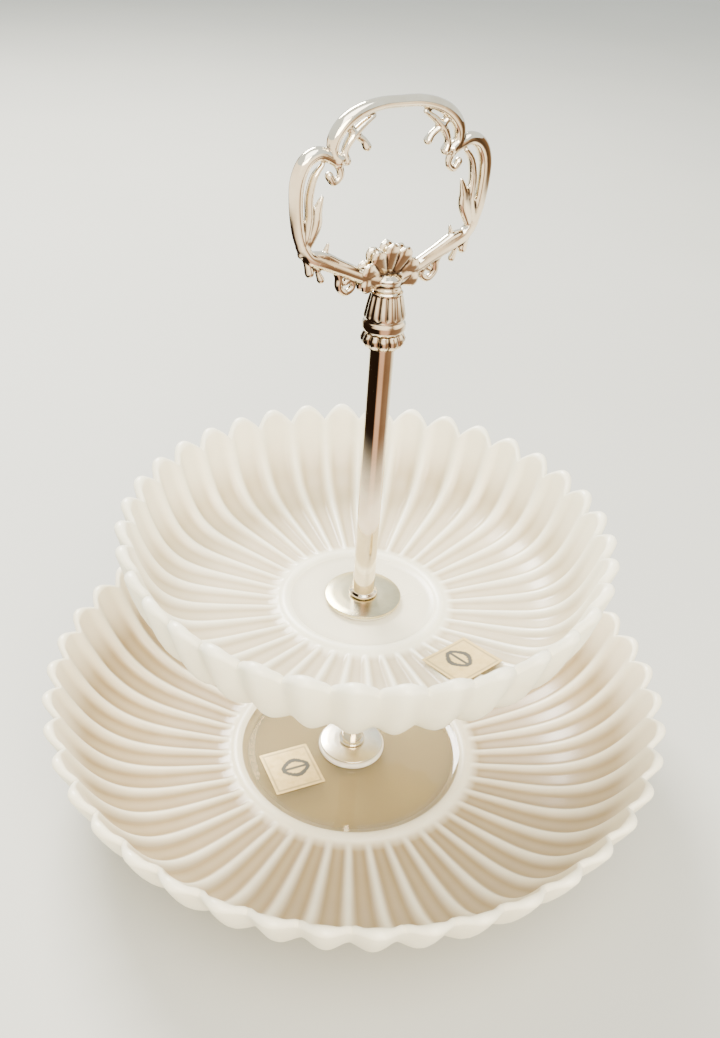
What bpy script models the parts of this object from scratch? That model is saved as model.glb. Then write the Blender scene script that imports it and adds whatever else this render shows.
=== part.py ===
"""Two-tier serving stand: two fluted glass plates on a two-piece tube rod, clamped between washers,
with a cast scroll handle on top. Metres, +Z up. The origin is on the rod's axis at the level of the
lower plate's foot. The handle lies in the XZ plane."""

import math

import bmesh
import bpy
from mathutils import Vector

MM = 0.001
GAP = 0.3 * MM                  # air between neighbours that rest on each other

# Rod, studs and bores
ROD_RADIUS = 5.5 * MM
ROD_FOOT_RADIUS = 7.2 * MM      # rolled ring at the lower end of each tube
ROD_FOOT_HEIGHT = 2.2 * MM
STUD_RADIUS = 3.0 * MM          # M6 thread
BORE_RADIUS = STUD_RADIUS + GAP
GLASS_HOLE_RADIUS = 4.0 * MM

# Plates: a flat well inside a ring, then a wall that is nearly flat and turns up at the rim. flare is
# the share of the wall's rise that is straight; the rest climbs with this power of the way out.
LOWER = dict(
    rim=164 * MM,
    well=65 * MM,
    foot=62 * MM,
    base=0.0,
    height=70 * MM,
    wall=4.0 * MM,
    flare=0.233,
    power=5,
    flutes=44,
    turn=0.5,
)
UPPER = dict(
    rim=121.5 * MM,
    well=40 * MM,
    foot=38 * MM,
    base=108.5 * MM,
    height=57 * MM,
    wall=4.6 * MM,
    flare=0.2,
    power=8,
    flutes=36,
    turn=0.5,
)
FLOOR_TOP = 9.0 * MM            # of the well above the foot, lower plate
UPPER_FLOOR_TOP = 7.0 * MM
FLOOR_THICKNESS = 4.2 * MM
RING_RISE = 1.2 * MM            # bead round the well
RING_WIDTH = 3.0 * MM
FOOT_WIDTH = 4.5 * MM
FLUTE_DEPTH = 2.4 * MM
LOBE_DEPTH = 6.0 * MM           # from a lobe's tip to the notch beside it
LIP_HEIGHT = 2.0 * MM
FLUTE_RUN_IN = 0.25             # share of the wall over which the flutes sink to their full depth
LOBE_START = 0.4                # share of the wall where the lobes begin to show outside
INNER_STATIONS = (0.08, 0.36, 0.62, 0.84, 1.0)
OUTER_STATIONS = (0.86, 0.62, 0.34, 0.08)
SAMPLES_PER_FLUTE = 4
FLUTE_WIDTH_POWER = 0.6         # below 1 makes the flutes wide and the ribs between them narrow

# Washers: (radius, thickness) of each soft pad and each metal washer
LOWER_TOP_PAD = (18.5 * MM, 2.7 * MM)
LOWER_TOP_WASHER = (17.5 * MM, 2.0 * MM)
LOWER_BOTTOM_PAD = (14.0 * MM, 0.8 * MM)
LOWER_BOTTOM_WASHER = (13.0 * MM, 0.8 * MM)
UPPER_TOP_PAD = (18.5 * MM, 1.2 * MM)
UPPER_TOP_WASHER = (19.5 * MM, 2.1 * MM)
UPPER_BOTTOM_PAD = (16.0 * MM, 1.4 * MM)
UPPER_BOTTOM_WASHER = (17.0 * MM, 1.6 * MM)

# Screw, studs, rods and handle
SCREW_HEAD = (6.5 * MM, 1.5 * MM)
SCREW_LENGTH = 22 * MM
SCREW_SLOT = (1.2 * MM, 0.7 * MM)
MIDDLE_STUD = (96 * MM, 130 * MM)
UPPER_ROD_TOP = 256 * MM
HANDLE_STUD = (247.7 * MM, 266 * MM)
COLLAR_TOP = 283 * MM
COLLAR_BORE_TOP = 268 * MM
LEAF_RING = (257.2 * MM, 264.0 * MM, 10.0 * MM)
CAST_VOXEL = 1.1 * MM
CAST_KEEP = 0.24                # share of the remeshed casting's faces that is kept

# Foil labels: (middle radius, azimuth in degrees, side in radius, side round, turn in its own plane,
# height over the glass)
LOWER_LABEL = (38.4 * MM, 179.3, 28 * MM, 30 * MM, -8.0, 0.3 * MM)
UPPER_LABEL = (68.5 * MM, -79.0, 26 * MM, 28 * MM, -4.0, 1.0 * MM)
FOIL = 0.4 * MM


def clear_scene():
    for item in list(bpy.data.objects):
        bpy.data.objects.remove(item)


def finish_material(name, colour, roughness, metallic=0.0, transmission=0.0):
    material = bpy.data.materials.new(name)
    material.use_nodes = True
    shader = material.node_tree.nodes["Principled BSDF"]
    shader.inputs["Base Color"].default_value = (*colour, 1.0)
    shader.inputs["Roughness"].default_value = roughness
    shader.inputs["Metallic"].default_value = metallic
    shader.inputs["Transmission Weight"].default_value = transmission
    return material


def frosted_glass(name):
    return finish_material(name, (0.84, 0.82, 0.76), 0.42, transmission=0.35)


def silver_plate(name):
    return finish_material(name, (0.82, 0.81, 0.79), 0.16, metallic=1.0)


def plain_steel(name):
    return finish_material(name, (0.62, 0.61, 0.58), 0.35, metallic=1.0)


def cream_rubber(name):
    return finish_material(name, (0.80, 0.74, 0.60), 0.70)


def pale_foil(name):
    return finish_material(name, (0.86, 0.81, 0.60), 0.38, metallic=0.6)


def as_object(name, mesh_maker, material, smooth_angle=35):
    """Links one object with the shape that mesh_maker puts into an empty bmesh."""
    shape = bmesh.new()
    mesh_maker(shape)
    bmesh.ops.recalc_face_normals(shape, faces=shape.faces)
    mesh = bpy.data.meshes.new(name)
    shape.to_mesh(mesh)
    shape.free()
    mesh.shade_smooth()
    mesh.set_sharp_from_angle(angle=math.radians(smooth_angle))
    mesh.materials.append(material)
    item = bpy.data.objects.new(name, mesh)
    bpy.context.scene.collection.objects.link(item)
    return item


def stitch(shape, first, second):
    """Faces between two closed rings of vertices. One may have a whole multiple of the other's count."""
    if len(first) > len(second):
        first, second = second, first
    share = len(second) // len(first)
    for index, corner in enumerate(first):
        following = first[(index + 1) % len(first)]
        run = [second[(index * share + step) % len(second)] for step in range(share + 1)]
        if share == 1:
            shape.faces.new((corner, following, run[1], run[0]))
            continue
        for near, far in zip(run, run[1:]):
            shape.faces.new((corner, near, far))
        shape.faces.new((corner, run[-1], following))


def turned(name, outline, material, sides=28):
    """A piece turned about Z. outline is a list of (radius, height); where it starts and ends on the
    axis the piece is solid, and elsewhere the outline is a closed loop round a hole."""

    def make(shape):
        rings = []
        for radius, height in outline:
            if radius == 0:
                rings.append([shape.verts.new((0, 0, height))])
                continue
            angles = [2 * math.pi * step / sides for step in range(sides)]
            places = [(radius * math.cos(angle), radius * math.sin(angle), height) for angle in angles]
            rings.append([shape.verts.new(place) for place in places])
        pairs = list(zip(rings, rings[1:]))
        if outline[0][0] > 0:
            pairs.append((rings[-1], rings[0]))
        for first, second in pairs:
            if len(first) == 1 or len(second) == 1:
                stitch_pole(shape, first, second)
            else:
                stitch(shape, first, second)

    return as_object(name, make, material)


def stitch_pole(shape, first, second):
    pole, ring = (first[0], second) if len(first) == 1 else (second[0], first)
    for index, corner in enumerate(ring):
        shape.faces.new((pole, corner, ring[(index + 1) % len(ring)]))


def washer(name, size, bottom, material, hole=BORE_RADIUS, edge=0.35):
    """A flat ring with its top edge eased. edge is the share of the thickness that the easing takes."""
    radius, thickness = size
    ease = thickness * edge
    top = bottom + thickness
    outline = [
        (hole, bottom),
        (radius - ease * 0.5, bottom),
        (radius, bottom + ease * 0.5),
        (radius, top - ease),
        (radius - ease * 1.5, top),
        (hole, top),
    ]
    return turned(name, outline, material)


def wall_point(plate, floor, share):
    """A point of the rib line at share of the way from the well's ring to the rim, and the wall's
    outward normal there, pointing up and in."""
    reach = plate["rim"] - LOBE_DEPTH - plate["well"] - RING_WIDTH
    rise = plate["height"] - LIP_HEIGHT - (floor - plate["base"])
    power = plate["power"]
    straight = rise * plate["flare"]
    curved = rise - straight
    radius = plate["well"] + RING_WIDTH + reach * share
    height = floor + straight * share + curved * share**power
    slope = (straight + power * curved * share ** (power - 1)) / reach
    length = math.hypot(1, slope)
    return radius, height, -slope / length, 1 / length


def flute_weight(phase):
    """0 on the rib, 1 in the middle of the flute."""
    return math.sin(math.pi * (phase % 1.0)) ** FLUTE_WIDTH_POWER if phase % 1.0 else 0.0


def plate_rings(plate, floor):
    """The plate's rings from the hole along the top, over the lip and back along the underside. Each
    is (samples per flute, function of the flute weight that gives radius and height)."""
    base, well, foot = plate["base"], plate["well"], plate["foot"]
    under = floor - FLOOR_THICKNESS

    def fixed(radius, height):
        return lambda weight: (radius, height)

    def inner(share):
        radius, height, out_r, out_z = wall_point(plate, floor, share)
        sink = FLUTE_DEPTH * min(1.0, share / FLUTE_RUN_IN)
        return lambda weight: (radius - out_r * sink * weight, height - out_z * sink * weight)

    def outer(share):
        radius, height, out_r, out_z = wall_point(plate, floor, share)
        bulge = LOBE_DEPTH * max(0.0, share - LOBE_START)
        return lambda weight: (
            radius - out_r * plate["wall"] + bulge * weight,
            height - out_z * plate["wall"],
        )

    rim_r, rim_z, _, _ = wall_point(plate, floor, 1.0)

    def lip_top(weight):
        return rim_r + LOBE_DEPTH * (0.25 + 0.45 * weight), rim_z + LIP_HEIGHT

    def lip_side(weight):
        return rim_r + LOBE_DEPTH * (0.45 + 0.55 * weight), rim_z - LIP_HEIGHT

    rings = [
        (1, fixed(GLASS_HOLE_RADIUS, floor)),
        (1, fixed(well - RING_WIDTH / 2, floor)),
        (1, fixed(well, floor + RING_RISE)),
    ]
    rings += [(SAMPLES_PER_FLUTE, inner(share)) for share in INNER_STATIONS]
    rings += [(SAMPLES_PER_FLUTE, lip_top), (SAMPLES_PER_FLUTE, lip_side)]
    rings += [(SAMPLES_PER_FLUTE, outer(share)) for share in OUTER_STATIONS]
    rings += [
        (1, fixed(foot + FOOT_WIDTH / 2, base + FOOT_WIDTH / 2)),
        (1, fixed(foot + FOOT_WIDTH / 4, base)),
        (1, fixed(foot - FOOT_WIDTH / 2, base)),
        (1, fixed(foot - FOOT_WIDTH, under)),
        (1, fixed(GLASS_HOLE_RADIUS, under)),
    ]
    return rings


def plate_piece(name, plate, floor, material):
    def make(shape):
        made = []
        for samples, place in plate_rings(plate, floor):
            count = samples * plate["flutes"]
            ring = []
            for step in range(count):
                phase = step / samples
                angle = 2 * math.pi * (phase + plate["turn"]) / plate["flutes"]
                radius, height = place(flute_weight(phase))
                spot = (radius * math.cos(angle), radius * math.sin(angle), height)
                ring.append(shape.verts.new(spot))
            made.append(ring)
        for first, second in zip(made, made[1:] + made[:1]):
            stitch(shape, first, second)

    return as_object(name, make, material, smooth_angle=50)


def foil_label(name, label, surface, material):
    """A thin square of foil that follows surface, a function from radius to height."""
    middle, azimuth, side_r, side_t, turn, rise = label
    steps = 4
    lean = math.radians(turn)

    def make(shape):
        layers = []
        for lift in (rise, rise + FOIL):
            grid = []
            for row in range(steps + 1):
                line = []
                for column in range(steps + 1):
                    along = (row / steps - 0.5) * side_r
                    across = (column / steps - 0.5) * side_t
                    out = middle + along * math.cos(lean) - across * math.sin(lean)
                    side = along * math.sin(lean) + across * math.cos(lean)
                    radius = math.hypot(out, side)
                    angle = math.radians(azimuth) + math.atan2(side, out)
                    height = surface(radius) + lift
                    spot = (radius * math.cos(angle), radius * math.sin(angle), height)
                    line.append(shape.verts.new(spot))
                grid.append(line)
            layers.append(grid)
        low, high = layers
        for grid in layers:
            for near, far in zip(grid, grid[1:]):
                for column in range(steps):
                    corners = (near[column], far[column], far[column + 1], near[column + 1])
                    shape.faces.new(corners)
        for step in range(steps):
            for line in ([(0, step), (0, step + 1)], [(steps, step), (steps, step + 1)]):
                (a, b), (c, d) = line
                shape.faces.new((low[a][b], low[c][d], high[c][d], high[a][b]))
            for line in ([(step, 0), (step + 1, 0)], [(step, steps), (step + 1, steps)]):
                (a, b), (c, d) = line
                shape.faces.new((low[a][b], low[c][d], high[c][d], high[a][b]))

    return as_object(name, make, material)


def tube_rod(name, bottom, top, material):
    outline = [
        (BORE_RADIUS, bottom),
        (ROD_FOOT_RADIUS - 0.5 * MM, bottom),
        (ROD_FOOT_RADIUS, bottom + 0.6 * MM),
        (ROD_FOOT_RADIUS, bottom + ROD_FOOT_HEIGHT * 0.6),
        (ROD_RADIUS, bottom + ROD_FOOT_HEIGHT),
        (ROD_RADIUS, top),
        (BORE_RADIUS, top),
    ]
    return turned(name, outline, material)


def stud(name, bottom, top, material):
    point = 1.0 * MM
    outline = [
        (0, bottom),
        (STUD_RADIUS - point, bottom),
        (STUD_RADIUS, bottom + point),
        (STUD_RADIUS, top - point),
        (STUD_RADIUS - point, top),
        (0, top),
    ]
    return turned(name, outline, material, sides=20)


def bottom_screw_piece(bottom, material):
    head_radius, head_height = SCREW_HEAD
    top = bottom + head_height
    end = top + SCREW_LENGTH
    outline = [
        (0, bottom),
        (head_radius - 1.2 * MM, bottom),
        (head_radius, bottom + 0.9 * MM),
        (head_radius, top),
        (STUD_RADIUS, top),
        (STUD_RADIUS, end - 1 * MM),
        (STUD_RADIUS - 1 * MM, end),
        (0, end),
    ]
    screw = turned("bottom_screw", outline, material, sides=24)
    width, depth = SCREW_SLOT

    def slot_block(shape):
        bmesh.ops.create_cube(shape, size=1)
        bmesh.ops.scale(shape, vec=(4 * head_radius, width, 2 * depth), verts=shape.verts)
        bmesh.ops.translate(shape, vec=(0, 0, bottom), verts=shape.verts)

    cutter = as_object("screw_slot_cutter", slot_block, material)
    cutter.hide_render = True
    cutter.display_type = "WIRE"
    cut = screw.modifiers.new("slot", "BOOLEAN")
    cut.operation = "DIFFERENCE"
    cut.object = cutter
    return screw


def bell_collar_piece(material):
    """The ribbed bell over the rod's top, narrowing upward, with a blind bore for the stud."""
    bottom = UPPER_ROD_TOP + GAP
    ring_bottom, ring_top, ring_radius = LEAF_RING
    sleeve = ring_radius - 3.2 * MM
    outline = [
        (0, COLLAR_BORE_TOP),
        (BORE_RADIUS, COLLAR_BORE_TOP),
        (BORE_RADIUS, bottom),
        (sleeve, bottom),
        (sleeve, ring_top + GAP),
        (9.2 * MM, ring_top + GAP),
        (9.7 * MM, 266.0 * MM),
        (9.6 * MM, 268.5 * MM),
        (9.0 * MM, 270.0 * MM),
        (9.2 * MM, 271.5 * MM),
        (8.9 * MM, 273.5 * MM),
        (8.3 * MM, 276.5 * MM),
        (7.7 * MM, 279.5 * MM),
        (7.2 * MM, COLLAR_TOP - 1 * MM),
        (6.4 * MM, COLLAR_TOP),
        (0, COLLAR_TOP),
    ]
    return turned("bell_collar", outline, material, sides=32)


def leaf_ring_piece(material):
    bottom, top, radius = LEAF_RING
    middle = (bottom + top) / 2
    hole = radius - 3.2 * MM + GAP
    outline = [
        (hole, bottom),
        (radius - 1.6 * MM, bottom),
        (radius - 0.4 * MM, bottom + 1.4 * MM),
        (radius, middle),
        (radius - 0.4 * MM, top - 1.4 * MM),
        (radius - 1.6 * MM, top),
        (hole, top),
    ]
    return turned("leaf_ring", outline, material, sides=32)


def spiral_in(start, centre, turns, end_share, steps=9):
    """Points of a scroll's curl: from start round centre, closing in to end_share of the first radius."""
    start, centre = Vector(start), Vector(centre)
    arm = start - centre
    points = []
    for step in range(1, steps + 1):
        share = step / steps
        size = 1 - (1 - end_share) * share
        angle = 2 * math.pi * turns * share
        cosine, sine = math.cos(angle), math.sin(angle)
        points.append(
            centre + Vector((arm.x * cosine - arm.y * sine, arm.x * sine + arm.y * cosine)) * size
        )
    return [tuple(point) for point in points]


def scroll_lines():
    """The right half of the handle's scrolls, as (points in the XZ plane in millimetres, radius)."""
    arch = [(0, 359.2), (9, 359.3), (19, 357), (27, 352), (29.5, 346)]
    side = [(31, 344), (36.5, 343.3), (41.8, 339.5), (44.8, 332), (45.4, 322), (44.2, 312), (41.4, 306)]
    arm = [(41.4, 306), (36.6, 301), (29, 298), (20, 293.5), (10, 289), (0, 288)]
    return [
        (arch + spiral_in(arch[-1], (24.6, 344.5), -0.62, 0.55), 2.7),
        (spiral_in(side[0], (30.2, 337.5), 0.72, 0.5)[::-1] + side, 2.9),
        (arm, 3.0),
        ([(41.4, 306), (38.5, 299), (35.6, 294), (32, 291.5)], 2.3),
        ([(29, 298), (30, 303), (34.6, 309), (38.4, 317), (42.2, 324)], 2.2),
        ([(14, 290.5), (17, 286)] + spiral_in((21.5, 284), (20.5, 287.6), 0.7, 0.6), 2.0),
        ([(29.5, 346), (32, 343.6)], 2.4),
    ]


def bent_tube(points, radius, mirrored):
    """One scroll as a round bar with closed ends."""
    sign = -1 if mirrored else 1
    curve = bpy.data.curves.new("scroll", "CURVE")
    curve.dimensions = "3D"
    curve.resolution_u = 4
    curve.bevel_depth = radius * MM
    curve.bevel_resolution = 2
    curve.use_fill_caps = True
    spline = curve.splines.new("NURBS")
    spline.points.add(len(points) - 1)
    for point, (across, height) in zip(spline.points, points):
        point.co = (sign * across * MM, 0, height * MM, 1)
    spline.order_u = 3
    spline.use_endpoint_u = True
    return curve


def shell_fan(shape):
    """The palmette over the neck: a flat fan of lobes."""
    centre, radius, lobes = 286 * MM, 15.5 * MM, 9
    thickness = 3.6 * MM
    samples = lobes * 4
    rims = []
    for side in (-1, 1):
        ring = []
        for step in range(samples + 1):
            share = step / samples
            angle = math.radians(-4 + 188 * share)
            reach = radius * (0.93 + 0.07 * abs(math.sin(math.pi * lobes * share)))
            spot = (reach * math.cos(angle), side * thickness, centre + reach * math.sin(angle))
            ring.append(shape.verts.new(spot))
        rims.append(ring)
    for ring in rims:
        shape.faces.new(ring)
    for step in range(samples + 1):
        following = (step + 1) % (samples + 1)
        shape.faces.new((rims[0][step], rims[0][following], rims[1][following], rims[1][step]))


def neck_block(shape):
    low, high = COLLAR_TOP + GAP + CAST_VOXEL / 2, 290 * MM
    bmesh.ops.create_cone(
        shape, cap_ends=True, segments=24, radius1=6.6 * MM, radius2=5.0 * MM, depth=high - low
    )
    bmesh.ops.translate(shape, vec=(0, 0, (low + high) / 2), verts=shape.verts)


def scroll_handle_piece(material):
    """All scrolls, the shell and the neck merged into one casting."""
    shape = bmesh.new()
    for points, radius in scroll_lines():
        for mirrored in (False, True):
            curve = bent_tube(points, radius, mirrored)
            holder = bpy.data.objects.new("scroll", curve)
            bpy.context.scene.collection.objects.link(holder)
            bpy.context.view_layer.update()
            shape.from_mesh(holder.evaluated_get(bpy.context.evaluated_depsgraph_get()).to_mesh())
            bpy.data.objects.remove(holder)
    for maker in (shell_fan, neck_block):
        part = bmesh.new()
        maker(part)
        bmesh.ops.recalc_face_normals(part, faces=part.faces)
        mesh = bpy.data.meshes.new("block")
        part.to_mesh(mesh)
        part.free()
        shape.from_mesh(mesh)
    mesh = bpy.data.meshes.new("scroll_handle")
    shape.to_mesh(mesh)
    shape.free()
    mesh.materials.append(material)
    handle = bpy.data.objects.new("scroll_handle", mesh)
    bpy.context.scene.collection.objects.link(handle)
    merge = handle.modifiers.new("merge", "REMESH")
    merge.mode = "VOXEL"
    merge.voxel_size = CAST_VOXEL
    merge.use_smooth_shade = True
    lighten = handle.modifiers.new("lighten", "DECIMATE")
    lighten.ratio = CAST_KEEP
    return handle


def build():
    clear_scene()
    lower_floor = LOWER["base"] + FLOOR_TOP
    upper_floor = UPPER["base"] + UPPER_FLOOR_TOP
    lower_under = lower_floor - FLOOR_THICKNESS
    upper_under = upper_floor - FLOOR_THICKNESS

    # Under the lower plate, from the glass down
    pad_bottom = lower_under - GAP - LOWER_BOTTOM_PAD[1]
    washer("lower_bottom_pad", LOWER_BOTTOM_PAD, pad_bottom, cream_rubber("lower_bottom_pad"))
    washer_bottom = pad_bottom - GAP - LOWER_BOTTOM_WASHER[1]
    washer("lower_bottom_washer", LOWER_BOTTOM_WASHER, washer_bottom, plain_steel("lower_bottom_washer"))
    bottom_screw_piece(washer_bottom - GAP - SCREW_HEAD[1], plain_steel("bottom_screw"))
    plate_piece("lower_plate", LOWER, lower_floor, frosted_glass("lower_plate"))

    # On the lower plate, and the rod up to the upper plate
    pad_bottom = lower_floor + GAP
    washer("lower_top_pad", LOWER_TOP_PAD, pad_bottom, cream_rubber("lower_top_pad"))
    washer_bottom = pad_bottom + LOWER_TOP_PAD[1] + GAP
    washer("lower_top_washer", LOWER_TOP_WASHER, washer_bottom, silver_plate("lower_top_washer"))
    rod_bottom = washer_bottom + LOWER_TOP_WASHER[1] + GAP
    pad_bottom = upper_under - GAP - UPPER_BOTTOM_PAD[1]
    washer_bottom = pad_bottom - GAP - UPPER_BOTTOM_WASHER[1]
    tube_rod("lower_rod", rod_bottom, washer_bottom - GAP, silver_plate("lower_rod"))
    washer("upper_bottom_washer", UPPER_BOTTOM_WASHER, washer_bottom, silver_plate("upper_bottom_washer"))
    washer("upper_bottom_pad", UPPER_BOTTOM_PAD, pad_bottom, cream_rubber("upper_bottom_pad"))
    stud("middle_stud", *MIDDLE_STUD, plain_steel("middle_stud"))
    plate_piece("upper_plate", UPPER, upper_floor, frosted_glass("upper_plate"))

    # On the upper plate, and the rod up to the handle
    pad_bottom = upper_floor + GAP
    washer("upper_top_pad", UPPER_TOP_PAD, pad_bottom, cream_rubber("upper_top_pad"))
    washer_bottom = pad_bottom + UPPER_TOP_PAD[1] + GAP
    washer("upper_top_washer", UPPER_TOP_WASHER, washer_bottom, silver_plate("upper_top_washer"))
    rod_bottom = washer_bottom + UPPER_TOP_WASHER[1] + GAP
    tube_rod("upper_rod", rod_bottom, UPPER_ROD_TOP, silver_plate("upper_rod"))
    stud("handle_stud", *HANDLE_STUD, plain_steel("handle_stud"))
    leaf_ring_piece(silver_plate("leaf_ring"))
    bell_collar_piece(silver_plate("bell_collar"))
    scroll_handle_piece(silver_plate("scroll_handle"))

    # Foil labels on the well of the lower plate and on the ribs of the upper one
    foil_label("lower_label", LOWER_LABEL, lambda radius: lower_floor, pale_foil("lower_label"))
    reach = UPPER["rim"] - LOBE_DEPTH - UPPER["well"] - RING_WIDTH

    def rib_height(radius):
        share = (radius - UPPER["well"] - RING_WIDTH) / reach
        return wall_point(UPPER, upper_floor, share)[1]

    foil_label("upper_label", UPPER_LABEL, rib_height, pale_foil("upper_label"))


build()
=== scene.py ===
import math

import bmesh
import bpy
import numpy as np
from mathutils import Matrix, Vector


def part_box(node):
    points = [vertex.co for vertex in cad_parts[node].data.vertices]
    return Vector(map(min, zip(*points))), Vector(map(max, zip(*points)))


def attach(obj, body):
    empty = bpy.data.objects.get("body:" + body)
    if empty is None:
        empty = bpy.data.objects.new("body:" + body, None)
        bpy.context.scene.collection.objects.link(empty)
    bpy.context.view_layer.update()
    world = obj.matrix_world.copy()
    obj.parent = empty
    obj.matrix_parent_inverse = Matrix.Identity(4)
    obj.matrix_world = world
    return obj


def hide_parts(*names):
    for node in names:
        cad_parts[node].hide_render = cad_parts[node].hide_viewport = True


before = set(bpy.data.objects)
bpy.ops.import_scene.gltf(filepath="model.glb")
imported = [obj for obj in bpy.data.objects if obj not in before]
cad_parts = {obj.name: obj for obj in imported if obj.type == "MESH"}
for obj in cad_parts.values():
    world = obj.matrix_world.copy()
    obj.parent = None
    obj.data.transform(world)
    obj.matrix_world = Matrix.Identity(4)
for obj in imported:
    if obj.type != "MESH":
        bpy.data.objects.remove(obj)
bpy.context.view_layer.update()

mm = 0.001


def pieceFromMesh(name, points, faces, smoothAngle=40):
    mesh = bpy.data.meshes.new(name)
    mesh.from_pydata([tuple(p) for p in points], [], faces)
    mesh.validate()
    tidy = bmesh.new()
    tidy.from_mesh(mesh)
    bmesh.ops.recalc_face_normals(tidy, faces=tidy.faces)
    tidy.to_mesh(mesh)
    tidy.free()
    mesh.shade_smooth()
    mesh.set_sharp_from_angle(angle=math.radians(smoothAngle))
    piece = bpy.data.objects.new(name, mesh)
    bpy.context.scene.collection.objects.link(piece)
    return piece


def ringGrid(rings):
    # rings is an array (ring, step, xyz) that closes both ways
    ringCount, stepCount, _ = rings.shape
    faces = []
    for ring in range(ringCount):
        nextRing = (ring + 1) % ringCount
        for step in range(stepCount):
            nextStep = (step + 1) % stepCount
            faces.append((ring * stepCount + step, ring * stepCount + nextStep,
                          nextRing * stepCount + nextStep, nextRing * stepCount + step))
    return rings.reshape(-1, 3), faces


def roundedOutline(corners, steps=5):
    # corners are (radius, height, rounding); each corner becomes a short arc
    outline = []
    count = len(corners)
    for index, (radius, height, rounding) in enumerate(corners):
        here = Vector((radius, height))
        if rounding == 0:
            outline.append(here)
            continue
        before = (Vector(corners[index - 1][:2]) - here).normalized()
        after = (Vector(corners[(index + 1) % count][:2]) - here).normalized()
        start, end = here + before * rounding, here + after * rounding
        for step in range(steps + 1):
            share = step / steps
            outline.append(start * (1 - share) ** 2 + here * 2 * share * (1 - share) + end * share ** 2)
    return outline


def turnedRing(name, corners, sides=96, wave=None):
    # wave(angle, radius, height) gives an extra radius where the turned form is ribbed or beaded, and the
    # mesh carries how deep each point lies between the ribs or beads
    outline = roundedOutline(corners)
    angles = np.linspace(0, 2 * math.pi, sides, endpoint=False)
    rings = np.zeros((len(outline), sides, 3))
    waves = np.zeros((len(outline), sides))
    for ring, (radius, height) in enumerate(outline):
        if wave:
            waves[ring] = [wave(angle, radius, height) for angle in angles]
        reach = radius + waves[ring]
        rings[ring] = np.stack([reach * np.cos(angles), reach * np.sin(angles), np.full(sides, height)], 1)
    points, faces = ringGrid(rings)
    piece = pieceFromMesh(name, points, faces)
    if wave:
        layer = piece.data.attributes.new("recess", "FLOAT", "POINT")
        depth = waves / waves.min()
        layer.data.foreach_set("value", depth.astype(np.float32).ravel() ** 1.5)
    return piece


def fitPiece(piece, body, slotName, finish, *nodes):
    piece.data.materials.clear()
    piece.data.materials.append(finish)
    if nodes:
        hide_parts(*nodes)
    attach(piece, body)


def newFinish(name):
    finish = bpy.data.materials.new(name)
    finish.use_nodes = True
    tree = finish.node_tree
    return finish, tree, tree.nodes["Principled BSDF"]


def noiseNode(tree, scale, detail, stretch=None):
    place = tree.nodes.new("ShaderNodeTexCoord")
    noise = tree.nodes.new("ShaderNodeTexNoise")
    noise.inputs["Scale"].default_value = scale
    noise.inputs["Detail"].default_value = detail
    noise.inputs["Roughness"].default_value = 0.55
    if stretch:
        mapping = tree.nodes.new("ShaderNodeMapping")
        mapping.inputs["Scale"].default_value = stretch
        tree.links.new(place.outputs["Object"], mapping.inputs["Vector"])
        tree.links.new(mapping.outputs["Vector"], noise.inputs["Vector"])
    else:
        tree.links.new(place.outputs["Object"], noise.inputs["Vector"])
    return noise.outputs["Fac"]


def rampNode(tree, source, stops):
    ramp = tree.nodes.new("ShaderNodeValToRGB")
    elements = ramp.color_ramp.elements
    while len(elements) < len(stops):
        elements.new(0.5)
    for element, (position, colour) in zip(elements, stops):
        element.position = position
        element.color = (*colour, 1) if len(colour) == 3 else (colour[0], colour[0], colour[0], 1)
    tree.links.new(source, ramp.inputs["Fac"])
    return ramp.outputs["Color"]


def bumpNode(tree, source, strength, distance):
    bump = tree.nodes.new("ShaderNodeBump")
    bump.inputs["Strength"].default_value = strength
    bump.inputs["Distance"].default_value = distance
    tree.links.new(source, bump.inputs["Height"])
    return bump.outputs["Normal"]


def mixColours(tree, factor, first, second, blend="MIX"):
    mix = tree.nodes.new("ShaderNodeMix")
    mix.data_type = "RGBA"
    mix.blend_type = blend
    for label, value in (("Factor", factor), ("A", first), ("B", second)):
        socket = mix.inputs[label]
        if isinstance(value, float):
            socket.default_value = value
        elif isinstance(value, tuple):
            socket.default_value = (*value, 1)
        else:
            tree.links.new(value, socket)
    return mix.outputs["Result"]


def satinGlassFinish(name, ribTone, paintedGrooveShadeTone):
    # acid-frosted pressed glass with painted shade in its grooves: the mesh carries how much painted shade
    # each point gets
    finish, tree, shader = newFinish(name)
    paintedGrooveShade = tree.nodes.new("ShaderNodeAttribute")
    paintedGrooveShade.attribute_name = "paintedGrooveShade"
    cloudy = noiseNode(tree, 60, 4)
    fine = noiseNode(tree, 900, 2)
    # painted shade: the groove tone is a shaded copy of the rib tone, mixed in by the mesh's painted groove
    # shade
    tone = mixColours(tree, paintedGrooveShade.outputs["Fac"], ribTone, paintedGrooveShadeTone)
    cloud = rampNode(tree, cloudy, [(0.3, (0.93, 0.92, 0.90)), (0.7, (1.0, 1.0, 1.0))])
    tinted = mixColours(tree, 1.0, tone, cloud, "MULTIPLY")
    tree.links.new(tinted, shader.inputs["Base Color"])
    tree.links.new(rampNode(tree, cloudy, [(0.25, (0.34,)), (0.8, (0.48,))]), shader.inputs["Roughness"])
    tree.links.new(bumpNode(tree, fine, 0.08, 0.0002), shader.inputs["Normal"])
    shader.inputs["Transmission Weight"].default_value = 0.2
    shader.inputs["IOR"].default_value = 1.5
    shader.inputs["Subsurface Weight"].default_value = 0.25
    shader.inputs["Subsurface Radius"].default_value = (1.0, 0.95, 0.85)
    shader.inputs["Subsurface Scale"].default_value = 0.006
    shader.inputs["Coat Weight"].default_value = 0.25
    shader.inputs["Coat Roughness"].default_value = 0.22
    return finish


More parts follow.
